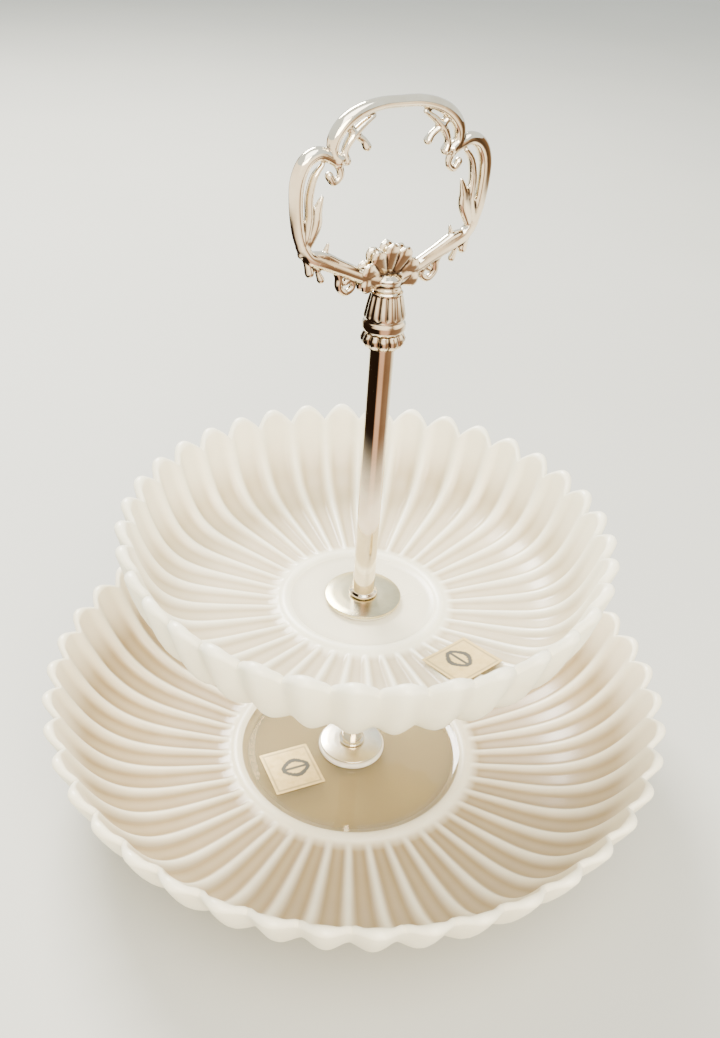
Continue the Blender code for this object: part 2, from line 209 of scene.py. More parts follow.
def clearGlassFinish(plate):
    # the pressed well, polished on the lower plate and hazier on the upper one
    finish, tree, shader = newFinish(plate["name"] + "Well")
    swirl = noiseNode(tree, 22, 3)
    tone, haze = plate["wellTone"], plate["wellRoughness"]
    duller = tuple(channel * 0.95 for channel in tone)
    tree.links.new(rampNode(tree, swirl, [(0.3, duller), (0.75, tone)]), shader.inputs["Base Color"])
    hazes = rampNode(tree, swirl, [(0.3, (haze * 0.7,)), (0.8, (haze * 1.4,))])
    tree.links.new(hazes, shader.inputs["Roughness"])
    tree.links.new(bumpNode(tree, swirl, 0.12, 0.0015), shader.inputs["Normal"])
    shader.inputs["Transmission Weight"].default_value = plate["wellClearness"]
    shader.inputs["IOR"].default_value = 1.5
    return finish


rodPlating = {"dull": (0.66, 0.57, 0.42), "bright": (0.80, 0.73, 0.58), "satin": 0.0, "patina": None}
castPlating = {**rodPlating, "patina": (0.08, 0.05, 0.03)}
# the discs' platings are lit and shaded copies of the same silver: brighter tones paint light on the lower
# discs, darker golden tones paint shade on the upper top disc
paintedLightDiscPlating = {"dull": (0.74, 0.66, 0.50), "bright": (0.88, 0.81, 0.66), "satin": 0.16, "patina": None}
paintedShadeDiscPlating = {"dull": (0.52, 0.45, 0.26), "bright": (0.68, 0.61, 0.40), "satin": 0.14, "patina": None}


def silverFinish(name, coating):
    # warm plating, less mirror-like by satin, with dark patina where a casting's mesh is marked as recessed
    finish, tree, shader = newFinish(name)
    satin = coating["satin"]
    stain = noiseNode(tree, 70, 4)
    brushing = noiseNode(tree, 300, 3, stretch=(1, 1, 0.15))
    plating = rampNode(tree, stain, [(0.25, coating["dull"]), (0.6, coating["bright"])])
    if coating["patina"]:
        recess = tree.nodes.new("ShaderNodeAttribute")
        recess.attribute_name = "recess"
        plating = mixColours(tree, recess.outputs["Fac"], plating, coating["patina"])
    tree.links.new(plating, shader.inputs["Base Color"])
    haze = rampNode(tree, stain, [(0.3, (0.11 + satin,)), (0.75, (0.05 + satin,))])
    tree.links.new(haze, shader.inputs["Roughness"])
    tree.links.new(bumpNode(tree, brushing, 0.05, 0.0001), shader.inputs["Normal"])
    shader.inputs["Metallic"].default_value = 1.0
    return finish


def plainSteelFinish(name):
    finish, tree, shader = newFinish(name)
    grain = noiseNode(tree, 500, 3)
    tree.links.new(rampNode(tree, grain, [(0.3, (0.50, 0.49, 0.46)), (0.7, (0.66, 0.65, 0.62))]),
                   shader.inputs["Base Color"])
    tree.links.new(rampNode(tree, grain, [(0.3, (0.42,)), (0.7, (0.28,))]), shader.inputs["Roughness"])
    tree.links.new(bumpNode(tree, grain, 0.15, 0.0001), shader.inputs["Normal"])
    shader.inputs["Metallic"].default_value = 1.0
    return finish


def creamVinylFinish(name):
    finish, tree, shader = newFinish(name)
    speckle = noiseNode(tree, 350, 4)
    tree.links.new(rampNode(tree, speckle, [(0.3, (0.72, 0.67, 0.53)), (0.7, (0.84, 0.80, 0.68))]),
                   shader.inputs["Base Color"])
    tree.links.new(rampNode(tree, speckle, [(0.3, (0.62,)), (0.7, (0.48,))]), shader.inputs["Roughness"])
    tree.links.new(bumpNode(tree, speckle, 0.2, 0.0002), shader.inputs["Normal"])
    shader.inputs["Subsurface Weight"].default_value = 0.15
    shader.inputs["Subsurface Scale"].default_value = 0.002
    return finish


def goldFoilFinish(name):
    # pale foil with a printed border and leaf, both carried by the mesh
    finish, tree, shader = newFinish(name)
    printed = tree.nodes.new("ShaderNodeAttribute")
    printed.attribute_name = "print"
    crinkle = noiseNode(tree, 260, 4)
    foil = rampNode(tree, crinkle, [(0.25, (0.48, 0.33, 0.10)), (0.75, (0.66, 0.49, 0.20))])
    inked = mixColours(tree, printed.outputs["Fac"], foil, (0.05, 0.045, 0.03))
    tree.links.new(inked, shader.inputs["Base Color"])
    tree.links.new(rampNode(tree, crinkle, [(0.3, (0.42,)), (0.7, (0.28,))]), shader.inputs["Roughness"])
    tree.links.new(bumpNode(tree, crinkle, 0.25, 0.0002), shader.inputs["Normal"])
    shader.inputs["Metallic"].default_value = 0.35
    return finish


silver = silverFinish("silverPlating", rodPlating)
agedSilver = silverFinish("agedSilverPlating", castPlating)
# a brighter disc plating with painted light and a darker golden one with painted shade
satinSilverPaintedLight = silverFinish("satinPaintedLightSilverPlating", paintedLightDiscPlating)
paintedShadeSilver = silverFinish("paintedShadeSilverPlating", paintedShadeDiscPlating)
steel = plainSteelFinish("plainSteel")
vinyl = creamVinylFinish("creamVinyl")
foil = goldFoilFinish("goldFoil")
print("finishes ready")


# each plate's groove tone is painted shade, a darker copy of its rib tone
lowerPlate = {
    "name": "lowerPlateGlass", "node": "lower_plate", "body": "lower_plate",
    "flutes": 44, "well": 0.065, "foot": 0.062, "floorTop": 0.009,
    "flareShare": 0.233, "turnUpPower": 5, "wallThickness": 0.0036,
    "ribTone": (1.0, 0.91, 0.68), "paintedGrooveShadeTone": (0.38, 0.265, 0.12), "wellTone": (0.99, 0.84, 0.53),
    "wellRoughness": 0.05, "wellClearness": 0.92,
}
upperPlate = {
    "name": "upperPlateGlass", "node": "upper_plate", "body": "upper_plate",
    "flutes": 36, "well": 0.040, "foot": 0.038, "floorTop": 0.1155,
    "flareShare": 0.2, "turnUpPower": 8, "wallThickness": 0.0042,
    "ribTone": (1.0, 0.94, 0.73), "paintedGrooveShadeTone": (0.54, 0.44, 0.26), "wellTone": (0.96, 0.89, 0.68),
    "wellRoughness": 0.25, "wellClearness": 0.35,
}
# the middle of each groove gets painted light that lifts its painted shade
plateForm = {
    "hole": 0.004, "floorThickness": 0.0042, "lipThickness": 0.0046,
    "ringRise": 0.0014, "ringWidth": 0.0032, "footWidth": 0.0045,
    "ribWidth": 0.52, "paintedGrooveMiddleLight": 0.14, "innerDepth": 0.17, "lobeDepth": 0.17,
    "notch": 0.024, "lipInset": 0.86, "lipDrop": 0.42, "lipRound": 0.62,
    "holeBevel": 0.0006, "footRound": 0.0012, "clearance": 0.0016,
    "samples": 14, "wallSteps": 38, "lipSteps": 8, "outerSteps": 26,
}


def smoothStep(value):
    value = np.clip(value, 0, 1)
    return value * value * (3 - 2 * value)


def buildPlate(plate, form):
    low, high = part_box(plate["node"])
    rim, top, base = high.x, high.z, low.z
    flutes, well, floorTop = plate["flutes"], plate["well"], plate["floorTop"]
    steps = flutes * form["samples"]
    phase = np.arange(steps) / form["samples"]
    angles = 2 * math.pi * phase / flutes
    away = np.abs(2 * (phase % 1.0) - 1)                      # 1 on a rib, 0 mid-flute
    offRib = np.clip((1 - away) / form["ribWidth"], 0, 1)
    grooveShape = 1 - ((1 + np.cos(math.pi * offRib)) / 2) ** 0.75
    # painted shade in the grooves, darkest beside the ribs, lifted by painted light mid-groove
    grooveShade = grooveShape * (1 - form["paintedGrooveMiddleLight"] * smoothStep((0.5 - away) / 0.5))
    lobeShape = ((1 + np.cos(math.pi * away)) / 2) ** 0.8
    pitchAtRim = 2 * math.pi * rim / flutes
    lobeReach = form["lobeDepth"] * pitchAtRim
    wallStart = well + form["ringWidth"]
    wallEnd = rim - plate["wallThickness"] - lobeReach * form["lipInset"]
    reach = wallEnd - wallStart
    rise = top - floorTop - form["lipThickness"] * form["lipDrop"]
    straight, curved = rise * plate["flareShare"], rise * (1 - plate["flareShare"])
    power = plate["turnUpPower"]

    def ribLine(share):
        radius = wallStart + reach * share
        height = floorTop + straight * share + curved * share ** power
        slope = (straight + power * curved * share ** (power - 1)) / reach
        length = np.sqrt(1 + slope ** 2)
        return radius, height, -slope / length, 1 / length

    def wallShare(share):
        return share * (1 - form["notch"] * away ** 2.2 * smoothStep((share - 0.6) / 0.4))

    def depths(share):
        pitch = 2 * math.pi * (wallStart + reach * share) / flutes
        inner = form["innerDepth"] * pitch * smoothStep(share / 0.07)
        inner = inner * (1 - 0.45 * smoothStep((share - 0.8) / 0.2))
        outer = lobeReach * smoothStep((share - 0.1) / 0.8)
        return inner, outer, plate["wallThickness"]

    rings, paintedGrooveShade, clear = [], [], []

    def addRing(radius, height, paintedShadeValue=0.0, clearValue=0.0):
        radius = np.broadcast_to(radius, steps)
        height = np.broadcast_to(height, steps)
        rings.append(np.stack([radius * np.cos(angles), radius * np.sin(angles), height], 1))
        paintedGrooveShade.append(np.broadcast_to(paintedShadeValue, steps))
        clear.append(np.full(steps, clearValue))

    hole, under = form["hole"], floorTop - form["floorThickness"]
    addRing(hole, floorTop - form["holeBevel"], 0, 1)
    addRing(hole + form["holeBevel"], floorTop, 0, 1)
    for share in np.linspace(0.1, 1, 8):
        addRing(hole + (well - form["ringWidth"] - hole) * share, floorTop, 0.1, 1)
    for share in np.linspace(0.12, 1, 9):                      # bead round the well
        bead = math.sin(math.pi * share) ** 0.8 * form["ringRise"] if share < 1 else 0
        addRing(well - form["ringWidth"] * (1 - 2 * share), floorTop + bead, 0, 0)
    for share in np.linspace(0.015, 1, form["wallSteps"]) ** 0.9:
        along = wallShare(share)
        radius, height, outR, outZ = ribLine(along)
        inner, _, _ = depths(share)
        sink = inner * grooveShape
        fade = 1 - 0.85 * smoothStep((share - 0.82) / 0.16)
        addRing(radius - outR * sink, height - outZ * sink, grooveShade * fade * min(1, share / 0.05))
    along = wallShare(1.0)
    radius, height, outR, outZ = ribLine(along)
    inner, outer, thick = depths(1.0)
    innerSink, outerSink = inner * grooveShape, thick + outer * lobeShape
    middle, half = (innerSink + outerSink) / 2, (outerSink - innerSink) / 2
    for share in np.linspace(0, 1, form["lipSteps"] + 2)[1:-1]:  # half-round lip, fuller on the lobes
        turn = math.pi * share
        sink = middle - half * math.cos(turn)
        over = np.minimum(half, form["lipThickness"] * form["lipRound"]) * math.sin(turn)
        addRing(radius - outR * sink + outZ * over, height - outZ * sink - outR * over, 0)
    for share in np.linspace(1, 0.015, form["outerSteps"]):
        along = wallShare(share)
        radius, height, outR, outZ = ribLine(along)
        _, outer, thick = depths(share)
        sink = thick + outer * lobeShape
        addRing(radius - outR * sink, np.maximum(height - outZ * sink, base + form["clearance"]), 0)
    foot, footWidth, footRound = plate["foot"], form["footWidth"], form["footRound"]
    for turn in np.linspace(0, math.pi, 9):                    # rounded ring foot
        height = base + footRound - footRound * math.sin(turn) ** 0.5
        addRing(foot + footWidth / 2 * math.cos(turn), height, 0)
    footInside = foot - footWidth * 0.8
    addRing(footInside, under, 0, 1)
    for share in np.linspace(0.15, 1, 6):
        addRing(footInside - (footInside - hole) * share, under, 0.1, 1)
    points, faces = ringGrid(np.array(rings))
    piece = pieceFromMesh(plate["name"], points, faces, 55)
    # the mesh carries the painted groove shade for the frosted glass finish
    layer = piece.data.attributes.new("paintedGrooveShade", "FLOAT", "POINT")
    layer.data.foreach_set("value", np.array(paintedGrooveShade, np.float32).ravel())
    satin = satinGlassFinish(plate["name"] + "Satin", plate["ribTone"], plate["paintedGrooveShadeTone"])
    fitPiece(piece, plate["body"], "frosted_glass", satin, plate["node"])
    piece.data.materials.append(clearGlassFinish(plate))
    isClear = np.array(clear).ravel()
    for face in piece.data.polygons:
        if min(isClear[corner] for corner in face.vertices) > 0.5:
            face.material_index = 1


buildPlate(lowerPlate, plateForm)
buildPlate(upperPlate, plateForm)
print("plates built")


rodForm = {"radius": 0.0055, "bore": 0.0033, "footRadius": 0.0072, "footHeight": 0.0022}


def buildRod(name, node, body):
    low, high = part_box(node)
    bottom, top = low.z, high.z
    corners = [
        (rodForm["bore"], bottom, 0),
        (rodForm["footRadius"], bottom, 0.0007),
        (rodForm["footRadius"], bottom + rodForm["footHeight"] * 0.62, 0.0005),
        (rodForm["radius"], bottom + rodForm["footHeight"], 0.0003),
        (rodForm["radius"], top, 0.0004),
        (rodForm["bore"], top, 0),
    ]
    fitPiece(turnedRing(name, corners), body, "silver_plate", silver, node)


buildRod("lowerRodTube", "lower_rod", "post")
buildRod("upperRodTube", "upper_rod", "upper_rod")


washerForm = {"hole": 0.0036, "shoulder": 0.0035, "shoulderDrop": 0.35,
              "flatShare": 0.55, "crownRounding": 0.001}


def buildWasher(name, node, body, slotName, finish, crown=0.0, rounding=0.0004):
    # a turned disc whose top rises by crown towards the hole
    low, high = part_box(node)
    outer, bottom, top = high.x, low.z, high.z
    hole, crownRounding = washerForm["hole"], washerForm["crownRounding"]
    corners = [
        (hole, bottom, 0),
        (outer, bottom, rounding),
        (outer, top - crown, rounding),
        (outer - washerForm["shoulder"], top - crown * washerForm["shoulderDrop"], crownRounding),
        (outer * washerForm["flatShare"], top, crownRounding),
        (hole, top, 0),
    ]
    fitPiece(turnedRing(name, corners, 128), body, slotName, finish, node)


# the lower top disc gets the plating with painted light, the upper top disc the one with painted shade
buildWasher("lowerTopDisc", "lower_top_washer", "post", "silver_plate", satinSilverPaintedLight, crown=0.0008)
buildWasher("upperTopDisc", "upper_top_washer", "upper_clamp", "silver_plate", paintedShadeSilver, crown=0.0007)
buildWasher("upperBottomDisc", "upper_bottom_washer", "post", "silver_plate", satinSilverPaintedLight, crown=0.0)
buildWasher("lowerBottomDisc", "lower_bottom_washer", "post", "plain_steel", steel, rounding=0.0002)
buildWasher("lowerTopPad", "lower_top_pad", "post", "cream_rubber", vinyl, rounding=0.0009)
buildWasher("upperTopPad", "upper_top_pad", "upper_clamp", "cream_rubber", vinyl, rounding=0.0004)
buildWasher("upperBottomPad", "upper_bottom_pad", "post", "cream_rubber", vinyl, rounding=0.0004)
buildWasher("lowerBottomPad", "lower_bottom_pad", "post", "cream_rubber", vinyl, rounding=0.0002)

for node in ("bottom_screw", "middle_stud", "handle_stud"):
    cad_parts[node].data.materials.clear()
    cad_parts[node].data.materials.append(steel)
print("rods and washers built")


collar = {
    "bore": 0.0066, "neckBore": 0.0034, "neckRadius": 0.0064, "footRadius": 0.0088,
    "beads": 12, "beadDepth": 0.0016,
    "ribs": 14, "ribDepth": 0.0007, "ribsFrom": 0.2705, "ribsTo": 0.2825,
    "ribFadeIn": 0.0015, "ribFadeOut": 0.002,
}
# the bell's outside from its foot to its neck: radius, height and rounding of each corner
bellOutline = [
    (0.0097, 0.2660, 0.0008), (0.0096, 0.2684, 0.0008), (0.0086, 0.2696, 0.0004), (0.0093, 0.2712, 0.0006),
    (0.0089, 0.2735, 0.001), (0.0082, 0.2770, 0.001), (0.0075, 0.2800, 0.001), (0.0071, 0.2815, 0.0005),
    (0.0074, 0.2822, 0.0003),
]


def buildCollar():
    low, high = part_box("bell_collar")
    ringLow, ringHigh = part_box("leaf_ring")
    bore = collar["bore"]
    bellFoot = ringHigh.z + 0.0003

    def bellWave(angle, radius, height):
        if radius <= bore:
            return 0
        onBell = smoothStep((height - collar["ribsFrom"]) / collar["ribFadeIn"]) \
            * smoothStep((collar["ribsTo"] - height) / collar["ribFadeOut"])
        return -collar["ribDepth"] * onBell * (1 - abs(math.cos(collar["ribs"] / 2 * angle)) ** 0.7)

    inside = [(collar["neckBore"], low.z, 0), (bore, low.z, 0),
              (bore, bellFoot, 0), (collar["footRadius"], bellFoot, 0.0003)]
    top = [(collar["neckRadius"], high.z, 0.0004), (collar["neckBore"], high.z, 0)]
    corners = inside + bellOutline + top
    bell = turnedRing("bellCollar", corners, 168, bellWave)
    fitPiece(bell, "handle", "silver_plate", agedSilver, "bell_collar")
    middle = (ringLow.z + ringHigh.z) / 2

    def beadWave(angle, radius, height):
        if radius < bore + 0.001:
            return 0
        return -collar["beadDepth"] * (1 - math.sqrt(abs(math.cos(collar["beads"] / 2 * angle))))

    outer = ringHigh.x
    ringCorners = [
        (bore + 0.0003, ringLow.z, 0),
        (outer - 0.0018, ringLow.z, 0.0012),
        (outer, middle - 0.001, 0.0016),
        (outer, middle + 0.0008, 0.0014),
        (outer - 0.0014, ringHigh.z, 0.001),
        (bore + 0.0003, ringHigh.z, 0),
    ]
    ring = turnedRing("leafRing", ringCorners, 192, beadWave)
    fitPiece(ring, "handle", "silver_plate", agedSilver, "leaf_ring")


buildCollar()
print("collar built")


# the right half of the casting, in millimetres across and up, each with its thickness along the way
scrolls = [
    {"line": [(0, 359), (9, 358.8), (18, 356.8), (25, 353), (29.4, 347.5), (29.8, 342), (27, 339)],
     "thick": [2.4, 2.5, 2.7, 2.9, 2.7, 2.2, 2.6], "depth": 1.1},
    {"line": [(12, 354.5), (17, 351.5), (22, 347), (24.5, 342), (23.5, 338.5)],
     "thick": [0.9, 1.5, 1.8, 1.5, 1.9], "depth": 1.2},
    {"line": [(25, 353), (21, 349), (16.5, 345.8), (14.5, 343.2)],
     "thick": [1.6, 1.7, 1.5, 1.9], "depth": 1.1},
    {"line": [(31.1, 333.5), (28.9, 330.8), (26, 333), (27, 337), (31.1, 340.5), (36.5, 342.4), (42, 339.5),
              (45.1, 332.5), (45.4, 323), (44.2, 313.5), (42, 306.5), (39.7, 300.5), (38.4, 295.5)],
     "thick": [1.8, 1.5, 1.5, 1.8, 2.4, 2.8, 3.0, 3.0, 2.8, 2.7, 2.5, 1.7, 2.0], "depth": 1.0},
    {"line": [(34.3, 338), (37.9, 333.5), (39.7, 326), (39.5, 318), (41, 310), (42, 306)],
     "thick": [1.0, 1.5, 1.7, 1.7, 1.9, 1.8], "depth": 1.3},
    {"line": [(42, 304), (37, 314), (35.9, 320), (33.9, 325.5)], "thick": [2.2, 3.0, 2.3, 0.9], "depth": 0.8},
    {"line": [(42.4, 307), (38.4, 301.8), (31.6, 298.6), (22, 294.4), (12, 290), (4, 287.5)],
     "thick": [2.6, 2.8, 2.9, 2.8, 3.0, 3.4], "depth": 1.05},
    {"line": [(38.8, 303.5), (31.6, 302), (24, 298), (14, 293.2)],
     "thick": [1.0, 1.5, 1.4, 1.1], "depth": 1.5},
    {"line": [(35.2, 299), (32, 302), (30.2, 306.5)], "thick": [2.0, 1.6, 0.7], "depth": 0.9},
    {"line": [(36.1, 300), (34.8, 296), (33, 292)], "thick": [1.6, 1.1, 1.7], "depth": 1.0},
    {"line": [(27, 296.5), (24.5, 292), (24.3, 287.5), (21, 284.6), (17.5, 286.5), (18.5, 290), (21.2, 289)],
     "thick": [1.9, 1.8, 1.6, 1.5, 1.4, 1.4, 1.5], "depth": 1.1},
]
castingForm = {"sides": 14, "stepsPerSpan": 7, "voxel": 0.00042, "smoothing": 3,
               "patinaReach": 14, "patinaFrom": 0.00001, "patinaDeep": 0.00022}
shell = {"centre": 285.5, "petals": 7, "spread": 168, "lean": 9,
         "length": 18.5, "width": 3.7, "thickness": 1.7,
         "rows": 14, "sides": 12, "widestAt": 0.78, "stem": 0.2, "sideLength": 0.80}
# the turned neck under the shell: radius and height over the bell, in metres
neck = {"sides": 40, "outline": [(0.0001, 0), (0.0062, 0), (0.0066, 0.0008), (0.0054, 0.0022),
                                 (0.0060, 0.0035), (0.0068, 0.0052), (0.0040, 0.0072), (0.0001, 0.0080)]}


def throughPoints(points, share):
    # point on a Catmull-Rom curve, share from 0 to 1 along the list
    count = len(points) - 1
    place = min(share * count, count - 1e-9)
    index = int(place)
    local = place - index
    a = points[max(index - 1, 0)]
    b, c = points[index], points[index + 1]
    d = points[min(index + 2, count)]
    return 0.5 * (2 * b + (c - a) * local + (2 * a - 5 * b + 4 * c - d) * local ** 2
                  + (3 * b - a - 3 * c + d) * local ** 3)


def addBar(points, faces, line, thick, depth, mirror):
    spans = (len(line) - 1) * castingForm["stepsPerSpan"]
    route = [np.array(p, float) for p in line]
    girth = [np.array([t], float) for t in thick]
    sides = castingForm["sides"]
    start = len(points)
    centres = np.array([throughPoints(route, s / spans) for s in range(spans + 1)])
    radii = np.array([throughPoints(girth, s / spans)[0] for s in range(spans + 1)])
    along = np.gradient(centres, axis=0)
    along /= np.linalg.norm(along, axis=1)[:, None]
    # rounded ends: short extra rings that close in
    caps = []
    for end, sign in ((0, -1), (spans, 1)):
        for lift in (0.5, 0.8, 0.96):
            caps.append((centres[end] + sign * along[end] * radii[end] * lift,
                         radii[end] * math.sqrt(1 - lift ** 2), along[end]))
    rows = caps[2::-1] + list(zip(centres, radii, along)) + caps[3:]
    for centre, radius, direction in rows:
        normal = np.array([-direction[1], direction[0]])
        for side in range(sides):
            turn = 2 * math.pi * side / sides
            spot = centre + normal * radius * math.cos(turn)
            points.append((mirror * spot[0] * mm, radius * depth * math.sin(turn) * mm, spot[1] * mm))
    for row in range(len(rows) - 1):
        for side in range(sides):
            following = (side + 1) % sides
            a, b = start + row * sides, start + (row + 1) * sides
            faces.append((a + side, a + following, b + following, b + side))
    faces.append(tuple(start + side for side in range(sides)))
    faces.append(tuple(start + (len(rows) - 1) * sides + side for side in range(sides)))


def addPetal(points, faces, turn, lean, length, width, thickness):
    # one petal of the shell: a long drop from the shell's foot, leaning out of the handle's plane
    start = len(points)
    rows, sides, widest = shell["rows"], shell["sides"], shell["widestAt"]
    direction = np.array([math.cos(turn) * math.cos(lean), math.sin(lean), math.sin(turn) * math.cos(lean)])
    side = np.array([-math.sin(turn), 0, math.cos(turn)])
    face = np.cross(direction, side)
    for row in range(rows + 1):
        share = row / rows
        if share < widest:
            swell = shell["stem"] + (1 - shell["stem"]) * share / widest
        else:
            swell = math.sqrt(max(0.02, 1 - ((share - widest) / (1 - widest)) ** 2))
        for step in range(sides):
            angle = 2 * math.pi * step / sides
            spot = direction * length * share + side * width * swell * math.cos(angle) \
                + face * thickness * swell * math.sin(angle)
            points.append((spot[0] * mm, spot[1] * mm, (shell["centre"] + spot[2]) * mm))
    for row in range(rows):
        for step in range(sides):
            following = (step + 1) % sides
            a, b = start + row * sides, start + (row + 1) * sides
            faces.append((a + step, a + following, b + following, b + step))
    faces.append(tuple(start + step for step in range(sides)))
    faces.append(tuple(start + rows * sides + step for step in range(sides)))


def addNeck(points, faces, bottom):
    start = len(points)
    sides, outline = neck["sides"], neck["outline"]
    for radius, above in outline:
        for step in range(sides):
            angle = 2 * math.pi * step / sides
            points.append((radius * math.cos(angle), radius * math.sin(angle), bottom + above))
    for row in range(len(outline) - 1):
        for step in range(sides):
            following = (step + 1) % sides
            a, b = start + row * sides, start + (row + 1) * sides
            faces.append((a + step, a + following, b + following, b + step))
    faces.append(tuple(start + step for step in range(sides)))
    faces.append(tuple(start + (len(outline) - 1) * sides + step for step in range(sides)))


def markRecesses(mesh):
    # how far each point lies below the surface round it, as a share of the deepest recesses
    count = len(mesh.vertices)
    places = np.empty(count * 3, np.float32)
    mesh.vertices.foreach_get("co", places)
    places = places.reshape(-1, 3).astype(float)
    edges = np.empty(len(mesh.edges) * 2, np.int32)
    mesh.edges.foreach_get("vertices", edges)
    first, second = edges.reshape(-1, 2).T
    outward = np.empty(count * 3, np.float32)
    mesh.vertex_normals.foreach_get("vector", outward)
    outward = outward.reshape(-1, 3)
    degree = np.bincount(first, minlength=count) + np.bincount(second, minlength=count)
    softened = places
    for _ in range(castingForm["patinaReach"]):
        total = np.zeros_like(softened)
        for axis in range(3):
            total[:, axis] = np.bincount(first, softened[second, axis], count) \
                + np.bincount(second, softened[first, axis], count)
        softened = total / degree[:, None]
    below = ((softened - places) * outward).sum(axis=1)
    recess = smoothStep((below - castingForm["patinaFrom"]) / castingForm["patinaDeep"])
    layer = mesh.attributes.new("recess", "FLOAT", "POINT")
    layer.data.foreach_set("value", recess.astype(np.float32))


def buildHandle():
    points, faces = [], []
    for scroll in scrolls:
        for mirror in (1, -1):
            addBar(points, faces, scroll["line"], scroll["thick"], scroll["depth"], mirror)
    for index in range(shell["petals"]):
        share = index / (shell["petals"] - 1)
        turn = math.radians(90 + shell["spread"] * (share - 0.5))
        stretch = shell["sideLength"] + (1 - shell["sideLength"]) * math.sin(math.pi * share)
        for lean in (shell["lean"], -shell["lean"]):
            addPetal(points, faces, turn, math.radians(lean), shell["length"] * stretch,
                     shell["width"], shell["thickness"])
    addNeck(points, faces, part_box("bell_collar")[1].z - 0.0002)
    piece = pieceFromMesh("scrollHandle", points, faces)
    cast = piece.modifiers.new("cast", "REMESH")
    cast.mode = "VOXEL"
    cast.voxel_size = castingForm["voxel"]
    soften = piece.modifiers.new("soften", "SMOOTH")
    soften.factor = 0.5
    soften.iterations = castingForm["smoothing"]
    bpy.context.view_layer.update()
    cooked = bpy.data.meshes.new_from_object(piece.evaluated_get(bpy.context.evaluated_depsgraph_get()))
    piece.modifiers.clear()
    piece.data = cooked
    cooked.shade_smooth()
    markRecesses(cooked)
    fitPiece(piece, "handle", "silver_plate", agedSilver, "scroll_handle")


buildHandle()
print("handle built")


labels = [
    {"name": "lowerFoilLabel", "node": "lower_label", "body": "lower_plate", "plate": lowerPlate,
     "radius": 0.0384, "azimuth": 179.3, "sideR": 0.028, "sideT": 0.030, "turn": -8.0, "lift": 0.0003},
    {"name": "upperFoilLabel", "node": "upper_label", "body": "upper_plate", "plate": upperPlate,
     "radius": 0.0685, "azimuth": -79.0, "sideR": 0.026, "sideT": 0.028, "turn": -4.0, "lift": 0.0010},
]


labelForm = {"steps": 56, "clearance": 0.00012, "thickness": 0.00018, "rimInset": 0.006, "topInset": 0.002,
             "borderFrom": 0.42, "borderTo": 0.46, "borderInk": 0.45}
leafPrint = {"half": 0.29, "bulge": 0.18, "outline": 0.048, "stem": 0.030, "shift": 0.08}


def labelHeight(plate, high, radius):
    # the label lies on the flat well or spans the ribs
    if radius <= plate["well"]:
        return plate["floorTop"]
    start = plate["well"] + plateForm["ringWidth"]
    reach = high.x - labelForm["rimInset"] - start
    rise = high.z - labelForm["topInset"] - plate["floorTop"]
    share = max(0.0, (radius - start) / reach)
    flare = plate["flareShare"]
    return plate["floorTop"] + rise * (flare * share + (1 - flare) * share ** plate["turnUpPower"])


def leafMark(u, v):
    # a plain printed leaf: two curved sides and a stem
    half = leafPrint["half"]
    if not -half < u < half:
        return 0.0
    side = leafPrint["bulge"] * math.cos(math.pi * u / (2 * half))
    onSide = abs(abs(v) - side) < leafPrint["outline"]
    onStem = abs(v) < leafPrint["stem"]
    return 1.0 if onSide or onStem else 0.0


def buildLabel(label):
    steps = labelForm["steps"]
    lean = math.radians(label["turn"])
    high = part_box(label["plate"]["node"])[1]
    under = label["lift"] + labelForm["clearance"]
    points, faces, printed = [], [], []
    for layer in (0, 1):
        for row in range(steps + 1):
            for column in range(steps + 1):
                u, v = row / steps - 0.5, column / steps - 0.5
                along, across = u * label["sideR"], v * label["sideT"]
                out = label["radius"] + along * math.cos(lean) - across * math.sin(lean)
                side = along * math.sin(lean) + across * math.cos(lean)
                radius = math.hypot(out, side)
                angle = math.radians(label["azimuth"]) + math.atan2(side, out)
                height = labelHeight(label["plate"], high, radius) + under + layer * labelForm["thickness"]
                points.append((radius * math.cos(angle), radius * math.sin(angle), height))
                edge = max(abs(u), abs(v))
                onBorder = labelForm["borderFrom"] < edge < labelForm["borderTo"]
                border = labelForm["borderInk"] if onBorder else 0.0
                printed.append(max(border, leafMark(u + leafPrint["shift"], v)) * layer)
    row = steps + 1
    count = row * row
    for r in range(steps):
        for c in range(steps):
            a = r * row + c
            faces.append((a, a + row, a + row + 1, a + 1))
            faces.append((count + a, count + a + 1, count + a + row + 1, count + a + row))
    rim = [c for c in range(steps)] + [r * row + steps for r in range(steps)] \
        + [steps * row + c for c in range(steps, 0, -1)] + [r * row for r in range(steps, 0, -1)]
    for here, following in zip(rim, rim[1:] + rim[:1]):
        faces.append((here, following, count + following, count + here))
    piece = pieceFromMesh(label["name"], points, faces, 50)
    layerData = piece.data.attributes.new("print", "FLOAT", "POINT")
    layerData.data.foreach_set("value", np.array(printed, np.float32))
    fitPiece(piece, label["body"], "pale_foil", foil, label["node"])


for label in labels:
    buildLabel(label)
print("labels built")


studio = {"floorSize": 20.0, "floorTone": (0.385, 0.38, 0.335), "skyTone": (0.90, 0.95, 0.95),
          "skyStrength": 1.6, "handleTurn": -35.0}


def turnedToHandle(place):
    # the camera's own left, right, near and far are turned so that the handle lies along X
    turn = math.radians(studio["handleTurn"])
    x, y, z = place
    return (x * math.cos(turn) - y * math.sin(turn), x * math.sin(turn) + y * math.cos(turn), z)


def buildFloor():
    half = studio["floorSize"] / 2
    corners = [(-half, -half, 0), (half, -half, 0), (half, half, 0), (-half, half, 0)]
    floor = pieceFromMesh("studioFloor", corners, [(0, 1, 2, 3)])
    finish, tree, shader = newFinish("paleFloor")
    mottled = noiseNode(tree, 3, 4)
    tone = studio["floorTone"]
    lighter = tuple(channel * 1.04 for channel in tone)
    tree.links.new(rampNode(tree, mottled, [(0.3, tone), (0.7, lighter)]), shader.inputs["Base Color"])
    shader.inputs["Roughness"].default_value = 0.6
    floor.data.materials.append(finish)
